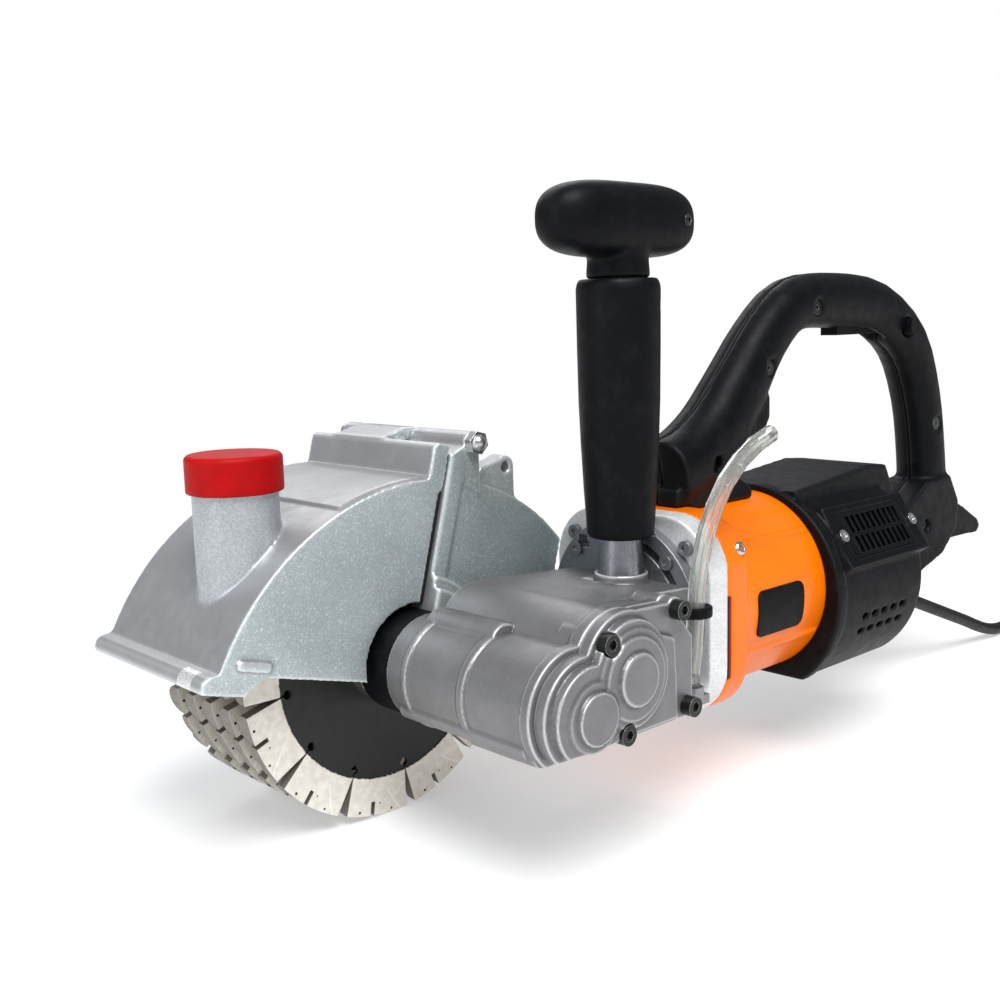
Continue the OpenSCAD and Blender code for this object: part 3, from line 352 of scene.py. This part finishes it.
def blade_finish():
    """A blade's black core, its bright segments, and the dull cutting grit on the rim and in the slots."""
    s = Shader("blade")
    edge = s.round_edges(0.35)
    x, _, z = s.from_origin()
    radius = s.hypot(x, z)
    geometry = s.add("ShaderNodeNewGeometry")
    facing = s.add("ShaderNodeSeparateXYZ")
    s.link(geometry.outputs["True Normal"], facing.inputs[0])
    flat = s.span(s.math("ABSOLUTE", facing.outputs[1]), 0.3, 0.8)
    grit = s.noise(0.6, 5, 0.7)
    smear = s.noise(3.5, 4, 0.6)
    ragged = s.math("ADD", radius, s.span(s.noise(1.5, 3), 0.3, 0.7, -0.35, 0.35))
    outer = s.span(ragged, 57.4, 57.9)
    metal = s.mix(s.span(smear, 0.3, 0.72), (0.90, 0.87, 0.79), (0.74, 0.69, 0.61))
    metal = s.mix(s.math("MULTIPLY", s.span(grit, 0.64, 0.72), 0.5), metal, (0.45, 0.41, 0.36))
    turn = s.math("SUBTRACT", s.math("DEGREES", s.math("ARCTAN2", z, x)), SLOT_TURN)
    along = s.math("MULTIPLY", s.math("FLOORED_MODULO", turn, STEP), SEGMENT_LENGTH / STEP)
    # three pores in each segment, painted near black as painted shade: how far along it, at which radius, and
    # how large
    for place, height, size in ((9.5, 73.2, 0.55), (28, 73.4, 0.45), (21, 69.5, 0.3)):
        away = s.hypot(s.math("SUBTRACT", along, place), s.math("SUBTRACT", radius, height))
        metal = s.mix(s.span(away, size, size + 0.25), (0.02, 0.02, 0.02), metal)
    # a slanting seam, drawn as a near-white line: a painted highlight along it
    slant = s.math("ADD", s.math("MULTIPLY", s.math("SUBTRACT", radius, 61), 0.65), 24)
    painted_seam_highlight = s.span(s.math("ABSOLUTE", s.math("SUBTRACT", along, slant)), 0.15, 0.5, 0.8, 0)
    metal = s.mix(s.math("MULTIPLY", painted_seam_highlight, s.span(radius, 62, 64)), metal, (1, 0.99, 0.96))
    sintered = s.mix(s.span(grit, 0.35, 0.65), (0.13, 0.117, 0.097), (0.25, 0.225, 0.19))
    metal = s.mix(flat, sintered, metal)
    metal = s.mix(s.math("MULTIPLY", edge, 0.6), metal, (0.80, 0.78, 0.74))
    scuff = s.math("MULTIPLY", s.span(s.noise(1.1, 5, 0.7), 0.66, 0.74), 0.12)
    tone = s.mix(outer, s.mix(scuff, (0.004, 0.004, 0.005), (0.10, 0.10, 0.10)), metal)
    s.bump(s.math("MULTIPLY", grit, s.span(outer, 0, 1, 0.15, 1)), 0.16, 0.6)
    gloss = s.span(smear, 0.3, 0.7, 0.36, 0.52)
    return s.done(tone, gloss, s.math("MULTIPLY", outer, s.span(flat, 0, 1, 0.35, 0.45)))


def clear_tube():
    """Clear PVC with a slight cloud."""
    s = Shader("clear_pvc")
    cloud = s.noise(4, 3)
    tone = s.mix(s.span(cloud, 0.3, 0.7), (0.97, 0.98, 0.95), (0.90, 0.93, 0.88))
    s.bump(s.noise(2.5, 2), 0.05, 0.3)
    return s.done(tone, s.span(cloud, 0.3, 0.7, 0.08, 0.2), 0.0, Transmission_Weight=0.92, IOR=1.42)


def red_plastic():
    """Dull red moulded plastic with lighter edges."""
    s = Shader("red_plastic")
    edge = s.round_edges(0.9)
    tone = s.mix(s.span(s.noise(8, 3), 0.3, 0.7), (0.44, 0.0003, 0.0014), (0.36, 0.0003, 0.0012))
    tone = s.mix(s.math("MULTIPLY", edge, 0.3), tone, (0.85, 0.03, 0.03))
    s.bump(s.noise(0.8, 3), 0.05, 0.6)
    return s.done(tone, 0.5, 0.0, Specular_IOR_Level=0.15)


def copper():
    """Wound copper wire."""
    s = Shader("copper_winding")
    lines = s.noise(0.7, 2, 0.5, s.stretch(0.05, 1, 1))
    s.bump(lines, 0.3, 0.8)
    return s.done(s.mix(lines, (0.55, 0.22, 0.08), (0.8, 0.4, 0.2)), 0.35, 0.9)


nylon = (0.0022, 0.0026, 0.0036)
FINISH = {
    "guard": guard_metal(),
    "gearbox": cast_metal("gearbox_casting", (0.21, 0.208, 0.214), 0.40, 0.05, 0.6, shine=0.6),
    "ring": cast_metal("ring_casting", (0.80, 0.81, 0.82), 0.42, 0.10, 0.7, dense=False, shine=0.35),
    "stem": steel("turned_stem", (0.34, 0.35, 0.38), 0.25, (1, 1, 0.1)),
    "plate": cast_metal("plate_casting", (0.24, 0.25, 0.27), 0.42, 0.08, 0.7, dense=False),
    "steel": steel("bright_steel", (0.66, 0.66, 0.67), 0.28, (1, 0.1, 1)),
    "gear": steel("gear_steel", (0.32, 0.32, 0.33), 0.35),
    "bearing": steel("bearing_steel", (0.7, 0.7, 0.72), 0.14),
    "zinc": steel("zinc_plate", (0.72, 0.72, 0.73), 0.22),
    "oxide": steel("black_oxide", (0.012, 0.014, 0.0135), 0.3, metallic=0.35),
    "black": moulded("black_nylon", nylon, 0.48, Specular_IOR_Level=0.12),
    "black_dense": moulded("black_nylon_dense", nylon, 0.46, dense=True, Specular_IOR_Level=0.13),
    "rubber": moulded("black_rubber", (0.006, 0.006, 0.007), 0.5, 0.8, 0.03, Specular_IOR_Level=0.3),
    "orange": enamel("orange_enamel", (1.0, 0.19, 0.0)),
    "label": moulded("label_gloss", (0.002, 0.002, 0.002), 0.4, 0.8, 0.01, 0.3, Specular_IOR_Level=0.1),
    "blade": blade_finish(),
    "hose": clear_tube(),
    "red": red_plastic(),
    # dark red for the painted shade in the motor housing's air slot
    "slot_shade": moulded("red_slot_shade", (0.33, 0.004, 0.002), 0.45, Specular_IOR_Level=0.2),
    "copper": copper(),
}

for key, names in (
    ("guard", "front_guard rear_guard"),
    ("gearbox", "gearbox_housing gear_cover"),
    ("ring", "adaptor_ring"),
    ("stem", "front_handle_stem"),
    ("plate", "flange_plate"),
    ("steel", "spindle_shaft gear_shaft rotor_shaft blade_spacers inner_flange outer_flange hinge_pin"),
    ("gear", "spindle_gear shaft_pinion bevel_gear bevel_pinion stator_core rotor_core"),
    ("gear", "arbor_nut hose_fitting flange_screws housing_screws"),
    ("bearing", "spindle_bearings gear_shaft_bearings rotor_bearings"),
    ("zinc", "grille_screws"),
    ("oxide", "cover_bolts handle_screws"),
    ("black", "vent_grilles trigger lock_button switch_block brush_holders carbon_brushes cooling_fan"),
    ("black", "neck_collar hose_clip"),
    ("black_dense", "rear_housing handle_left handle_right front_grip front_knob"),
    ("rubber", "strain_relief power_cord cord_coil mains_plug"),
    ("orange", "motor_housing"),
    ("label", "label_plate"),
    ("blade", "blade_1 blade_2 blade_3 blade_4 blade_5"),
    ("hose", "water_hose"),
    ("red", "dust_cap"),
    ("copper", "stator_windings commutator"),
):
    for n in names.split():
        nodes[n].data.materials.clear()
        nodes[n].data.materials.append(FINISH[key])


# ---------------------------------------------------------------- soft casting and moulding shapes

def soften(ob, voxel, passes):
    """Rounds the edges of a cast or moulded piece."""
    remesh = ob.modifiers.new("voxels", "REMESH")
    remesh.mode = "VOXEL"
    remesh.voxel_size = voxel * MM
    remesh.use_smooth_shade = True
    smooth = ob.modifiers.new("smooth", "SMOOTH")
    smooth.factor = 0.5
    smooth.iterations = passes


for names, voxel, passes in (
    ("front_guard rear_guard", 0.9, 4),
    ("gearbox_housing gear_cover", 0.6, 5),
    ("handle_left handle_right", 1.1, 14),
    ("rear_housing", 0.9, 6),
    ("motor_housing adaptor_ring", 0.8, 6),
    ("front_grip dust_cap neck_collar hose_clip", 0.7, 5),
):
    for n in names.split():
        soften(nodes[n], voxel, passes)


# ---------------------------------------------------------------- mesh helpers

def link(name, data, body, replaces=()):
    """Adds a piece that rides on a body."""
    ob = bpy.data.objects.new(name, data)
    scene.collection.objects.link(ob)
    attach(ob, body)
    if replaces:
        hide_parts(*replaces)
    return ob


def catmull(points, steps):
    """A smooth curve through the points."""
    out = []
    last = len(points) - 1
    for i in range(last):
        a, b, c, d = (points[max(0, min(j, last))] for j in (i - 1, i, i + 1, i + 2))
        for k in range(steps):
            t = k / steps
            out.append(0.5 * (2 * b + (c - a) * t + (2 * a - 5 * b + 4 * c - d) * t * t
                              + (3 * b - a - 3 * c + d) * t ** 3))
    out.append(points[last])
    return out


def tube_curve(name, points, radius, material):
    """A round tube along the points."""
    curve = bpy.data.curves.new(name, "CURVE")
    curve.dimensions = "3D"
    curve.bevel_depth = radius
    curve.bevel_resolution = 5
    curve.use_fill_caps = True
    spline = curve.splines.new("POLY")
    spline.points.add(len(points) - 1)
    for p, co in zip(spline.points, points):
        p.co = (*co, 1)
    curve.materials.append(material)
    return curve


def solid_mesh(name, verts, faces, material, smooth=True):
    """A closed mesh with its faces turned outwards."""
    mesh = bpy.data.meshes.new(name)
    mesh.from_pydata([tuple(v) for v in verts], [], faces)
    mesh.materials.append(material)
    bm = bmesh.new()
    bm.from_mesh(mesh)
    bmesh.ops.recalc_face_normals(bm, faces=bm.faces)
    bm.to_mesh(mesh)
    bm.free()
    for poly in mesh.polygons:
        poly.use_smooth = smooth
    return mesh


def plate_mesh(loops, y0, y1):
    """A flat plate in the X-Z plane, from outlines in millimetres; loops after the first are holes."""
    curve = bpy.data.curves.new("outline", "CURVE")
    curve.dimensions = "2D"
    curve.fill_mode = "BOTH"
    curve.extrude = (y1 - y0) / 2
    for loop in loops:
        spline = curve.splines.new("POLY")
        spline.points.add(len(loop) - 1)
        for p, (x, z) in zip(spline.points, loop):
            p.co = (x, z, 0, 1)
        spline.use_cyclic_u = True
    ob = bpy.data.objects.new("outline", curve)
    scene.collection.objects.link(ob)
    mesh = bpy.data.meshes.new_from_object(ob)
    bpy.data.objects.remove(ob)
    verts = [(v.co.x, (y0 + y1) / 2 - v.co.z, v.co.y) for v in mesh.vertices]
    faces = [tuple(p.vertices) for p in mesh.polygons]
    return verts, faces


def loft(rings):
    """A closed skin through rings of points."""
    n = len(rings[0])
    verts = [p for ring in rings for p in ring]
    faces = []
    for i in range(len(rings) - 1):
        for k in range(n):
            a, b = i * n + k, i * n + (k + 1) % n
            faces.append((a, b, b + n, a + n))
    faces.append(tuple(range(n)))
    faces.append(tuple((len(rings) - 1) * n + k for k in range(n)))
    return verts, faces


def merge(skins):
    """One skin out of several."""
    verts, faces = [], []
    for more, its_faces in skins:
        faces += [tuple(i + len(verts) for i in face) for face in its_faces]
        verts += more
    return verts, faces


def polar(r, degrees):
    return r * math.cos(math.radians(degrees)), r * math.sin(math.radians(degrees))


# ---------------------------------------------------------------- blades

def half_slot(r):
    """Half a slot's angle at a radius."""
    return math.degrees(math.asin((0.3 + 2.7 * (r - 58) / 19) / r)) if r > 58 else 0.3


def far_side(phase, r):
    """How far a segment's inner side stands from the blade's outer face."""
    full = RIM_T
    for a, b, thick in LOBES:
        if a <= phase <= b:
            full += (thick - RIM_T) * math.sin(math.pi * (phase - a) / (b - a)) ** 0.55
            full += 0.35 * math.sin(phase * 95) * math.sin(math.pi * (phase - a) / (b - a))
    ramp = min(1, max(0, (r - 58.2) / 4.5))
    return ROOT_T + (full - ROOT_T) * ramp ** 0.7


def blade_segment(start):
    """A segment from the slot at an angle to the next one, with a short notch in its rim."""
    radii = (57.4, 58.6, 60.2, 62.5, 65, 68.5, 70, 73.2, 74.6, RIM_R)
    # the row of points at the notch's floor, and the column of faces that the notch leaves out
    floor_row, cut = 5, 19
    shares = [NOTCH[0] * k / cut for k in range(cut + 1)]
    shares += [NOTCH[1] + (1 - NOTCH[1]) * k / 27 for k in range(28)]
    n = len(shares) - 1
    verts = []
    for side in (0, 1):
        for r in radii:
            a0, a1 = start + half_slot(r), start + STEP - half_slot(r)
            for u in shares:
                x, z = polar(r - (0.5 if r == RIM_R and side else 0), a0 + (a1 - a0) * u)
                verts.append((x, far_side(u, r) if side else -0.4, z))
    m = n + 1
    half = m * len(radii)
    faces = []

    def wall(a, b):
        faces.append((a, b, half + b, half + a))

    for i in range(len(radii) - 1):
        for k in range(n):
            a = i * m + k
            if k == cut and i >= floor_row:
                continue
            faces.append((a, a + 1, a + m + 1, a + m))
            faces.append((half + a, half + a + m, half + a + m + 1, half + a + 1))
        for k in (0, n) if i < floor_row else (0, cut, cut + 1, n):
            wall(i * m + k, (i + 1) * m + k)
    for k in range(n):
        wall(k, k + 1)
        row = floor_row if k == cut else len(radii) - 1
        wall(row * m + k, row * m + k + 1)
    return verts, faces


def core_outline():
    """The core's edge, with a narrow cut and a keyhole at each slot."""
    out = []
    for k in range(SLOTS):
        a = SLOT_TURN + k * STEP
        cut = math.degrees(0.3 / CORE_R)
        out += [polar(CORE_R, a - STEP + cut + (STEP - 2 * cut) * j / 10) for j in range(11)]
        middle = polar(KEYHOLE_AT, a)
        for j in range(17):
            out.append(tuple(m + v for m, v in zip(middle, polar(KEYHOLE_R, a - 9 - (342 * j / 16)))))
    return out


def blade_mesh():
    bore = [polar(BORE_R, -k * 7.5) for k in range(48)]
    core = plate_mesh([core_outline(), bore], 0, CORE_T)
    verts, faces = merge([core] + [blade_segment(SLOT_TURN + k * STEP) for k in range(SLOTS)])
    return solid_mesh("blade", [Vector(v) * MM for v in verts], faces, FINISH["blade"], smooth=False)


shape = blade_mesh()
for i in range(BLADES):
    placed = shape.copy()
    placed.transform(Matrix.Translation(pt(0, BLADE_PITCH * i, 0)))
    link(f"cutting_blade_{i + 1}", placed, "spindle", (f"blade_{i + 1}",))


# ---------------------------------------------------------------- front handle's knob

def rounded(angle, a, b, power):
    """A point of a superellipse."""
    c, s = math.cos(angle), math.sin(angle)
    return a * math.copysign(abs(c) ** (2 / power), c), b * math.copysign(abs(s) ** (2 / power), s)


def knob_mesh():
    """The cross knob and its neck, as two skins that the remesh joins."""
    rings = []
    for i in range(41):
        t = -1 + 2 * i / 40
        x = 43.5 * math.sin(t * math.pi / 2)
        size = max(0.02, 1 - abs(x / 43.6) ** 4) ** 0.42
        ring = []
        for k in range(48):
            y, z = rounded(2 * math.pi * k / 48, 16.2 * size, 17 * size, 2.6)
            lift = 1.5 * (1 - size) + (1.2 if z < 0 else 0) * (z / 17) ** 2
            ring.append(pt(STEM_X + x, STEM_Y + y, KNOB_Z + z * (0.94 if z < 0 else 1) + lift))
        rings.append(ring)
    neck = []
    for z, r in ((-20, 6), (-0.01, 6), (0, 13.2), (1, 13.8), (8, 13.2), (12, 13.8), (20, 13.8)):
        neck.append([
            pt(STEM_X + r * math.cos(math.pi * k / 24), STEM_Y + r * math.sin(math.pi * k / 24), GRIP_TOP + z)
            for k in range(48)
        ])
    return solid_mesh("knob", *merge([loft(rings), loft(neck)]), FINISH["black_dense"])


soften(link("cross_knob", knob_mesh(), "body", ("front_knob",)), 0.9, 8)


# ---------------------------------------------------------------- small pieces

def tilted(x, y, z):
    """A point of the guard's level frame."""
    a = math.radians(GUARD_TILT)
    return pt(x * math.cos(a) + z * math.sin(a), y, -x * math.sin(a) + z * math.cos(a))


def split_shade_mesh():
    """The dark strip in the groove between the guard's two halves: painted shade, a dark sheet standing in
    for the shade in the split.
    """
    rings = []
    steps = 24
    for k in range(steps + 1):
        z = 26.5 + (76 - 26.5) * k / steps
        front = -19.5 + 0.12 * math.sin(k * 1.7)
        outline = ((-2.2, -18.5), (-2.2, -19.2), (-1.9, front), (-0.8, front), (-0.45, -19.2), (-0.45, -18.5))
        rings.append([tilted(x, y, z) for x, y in outline])
    return solid_mesh("split_shade", *loft(rings), FINISH["rubber"])


def screw_head(name, spot, normal, radius, material):
    """A round-headed screw with a hexagonal socket, along a direction."""
    n = 36
    turn = Vector(normal).to_track_quat("Z", "Y").to_matrix().to_4x4()
    place = Matrix.Translation(pt(*spot)) @ turn @ Matrix.Scale(MM, 4)
    socket, top = radius * 0.5, 1.75
    angles = [2 * math.pi * k / n for k in range(n)]
    rings = [[(r * math.cos(a), r * math.sin(a), z) for a in angles] for r, z in (
        (radius, -1.5), (radius, 0.5), (radius * 0.93, 1.1), (radius * 0.72, 1.6), (socket, top))]
    for z in (top, 0.1):
        ring = []
        for a in angles:
            flat = socket * 0.92 * math.cos(math.pi / 6) / math.cos((a % (math.pi / 3)) - math.pi / 6)
            ring.append((flat * math.cos(a), flat * math.sin(a), z))
        rings.append(ring)
    verts, faces = loft(rings)
    mesh = solid_mesh(name, [place @ Vector(v) for v in verts], faces, material, smooth=False)
    link(name, mesh, "body")


def strip(name, low, high, material):
    """A thin upright strip between two corners, crowned towards the near side."""
    (x0, y0, z0), (x1, y1, z1) = low, high
    rings = []
    steps, across, swell = 20, 6, 0.25
    for k in range(steps + 1):
        z = z0 + (z1 - z0) * k / steps
        end = math.sin(math.pi * min(max(k / steps, 0.02), 0.98)) ** 0.3
        ring = []
        for i in range(across + 1):
            crown = swell * math.sin(math.pi * i / across) * end
            ring.append(pt(x0 + (x1 - x0) * i / across, y0 + swell - crown, z))
        rings.append(ring + [pt(x1, y1, z), pt(x0, y1, z)])
    link(name, solid_mesh(name, *loft(rings), material), "body")


# painted shade: a dark strip that darkens the split groove between the guard's halves
link("guard_split_shade", split_shade_mesh(), "guard")
# painted shade: a black strip and a dark red strip set in the motor housing's air slot, sheets that stand in
# for the shade in it
strip("air_slot_dark_shade", (107.15, -110.1, -13.7), (108.1, -108.9, 23.7), FINISH["rubber"])
strip("air_slot_red_shade", (108.2, -109.9, -13.7), (109.75, -108.9, 23.7), FINISH["slot_shade"])
screw_head("front_near_screw", (118, -108.0, 44), (0, -0.915, 0.404), 3.2, FINISH["zinc"])
screw_head("knob_screw", (STEM_X + 29, STEM_Y - 14.1, KNOB_Z + 1), (0.12, -1, 0.0), 2.8, FINISH["oxide"])


# ---------------------------------------------------------------- mains cord, coil and plug

route = [
    (317, -64, -20), (332, -64, -22), (348, -64, -27), (364, -64, -33), (380, -64, -39), (396, -64, -45),
    (412, -64, -51), (428, -64, -57), (443, -64, -63), (458, -64, -68), (474, -64, -71), (492, -64, -71.2),
    (510, -63, -71.2), (530, -62.4, -71.2), (552, -62.4, -71.2),
]
# the heights of the coil's two layers and of the plug's entry
LOW, HIGH = FLOOR + CORD_R, FLOOR + 3 * CORD_R
PLUG_Z = FLOOR + 17
# the lead-out: the middle and radius of its bend, and the plug's entry
BEND_X, BEND_Y, BEND_R = 549, -149, 33
PLUG_X, PLUG_Y = 547, -182


def glide(a, keys):
    """A value that eases between (angle, value) keys; angles run downwards."""
    for (a0, v0), (a1, v1) in zip(keys, keys[1:]):
        if a >= a1:
            t = (a0 - a) / (a0 - a1)
            return v0 + (v1 - v0) * (3 * t ** 2 - 2 * t ** 3)
    return keys[-1][1]


def coil_points():
    """Turns inwards on the floor, then turns outwards on top of them, and the lead-out to the plug."""
    radii = ((90, 48.6), (-90, 48.6), (-270, 41), (-450, 41), (-630, 33.4), (-985, 33.4), (-1165, 41),
             (-1345, 41), (-1525, 48.6), (-1830, 48.6))
    heights = ((90, LOW), (-740, LOW), (-870, HIGH), (-1830, HIGH))
    out = []
    for a in range(82, -1831, -8):
        r = glide(a, radii)
        out.append((*(v + c for v, c in zip(polar(r, a), (COIL_X, COIL_Y))), glide(a, heights)))
    base = len(out)
    for a in range(-38, -91, -8):
        out.append((*(v + c for v, c in zip(polar(BEND_R, a), (BEND_X, BEND_Y))), HIGH))
    out.append((PLUG_X, PLUG_Y, HIGH))
    # the last stretch rises to the plug
    rise = base - 6
    run = [0.0]
    for a, b in zip(out[rise:], out[rise + 1:]):
        run.append(run[-1] + math.dist(a[:2], b[:2]))
    for k, d in enumerate(run):
        t = d / run[-1]
        x, y, z = out[rise + k]
        out[rise + k] = (x, y, z + (PLUG_Z - z) * (3 * t ** 2 - 2 * t ** 3))
    return out


cord_line = [pt(*p) for p in catmull([Vector(p) for p in route], 4)] + [pt(*p) for p in coil_points()]
cord_curve = tube_curve("mains_cord", cord_line, CORD_R * MM, FINISH["rubber"])
cord = link("mains_cord", cord_curve, "body", ("power_cord", "cord_coil"))


# ---------------------------------------------------------------- floor

floor_mesh = bpy.data.meshes.new("floor")
bm = bmesh.new()
bmesh.ops.create_grid(bm, x_segments=1, y_segments=1, size=6)
bm.to_mesh(floor_mesh)
bm.free()
floor = bpy.data.objects.new("floor", floor_mesh)
scene.collection.objects.link(floor)
floor.location.z = -0.0002
# the floor fades into the white background with distance
s = Shader("floor")
floor_mesh.materials.append(s.done((0.97, 0.97, 0.97), 0.75))
spread = s.add("ShaderNodeVectorMath", operation="LENGTH")
s.link(s.mm, spread.inputs[0])
glow = s.add("ShaderNodeEmission")
glow.inputs["Color"].default_value = (1, 1, 1, 1)
fade = s.add("ShaderNodeMixShader")
s.link(s.span(spread.outputs["Value"], 380, 900, 0.4, 1.0), fade.inputs[0])
s.link(s.bsdf.outputs[0], fade.inputs[1])
s.link(glow.outputs[0], fade.inputs[2])
s.link(fade.outputs[0], s.tree.nodes["Material Output"].inputs[0])
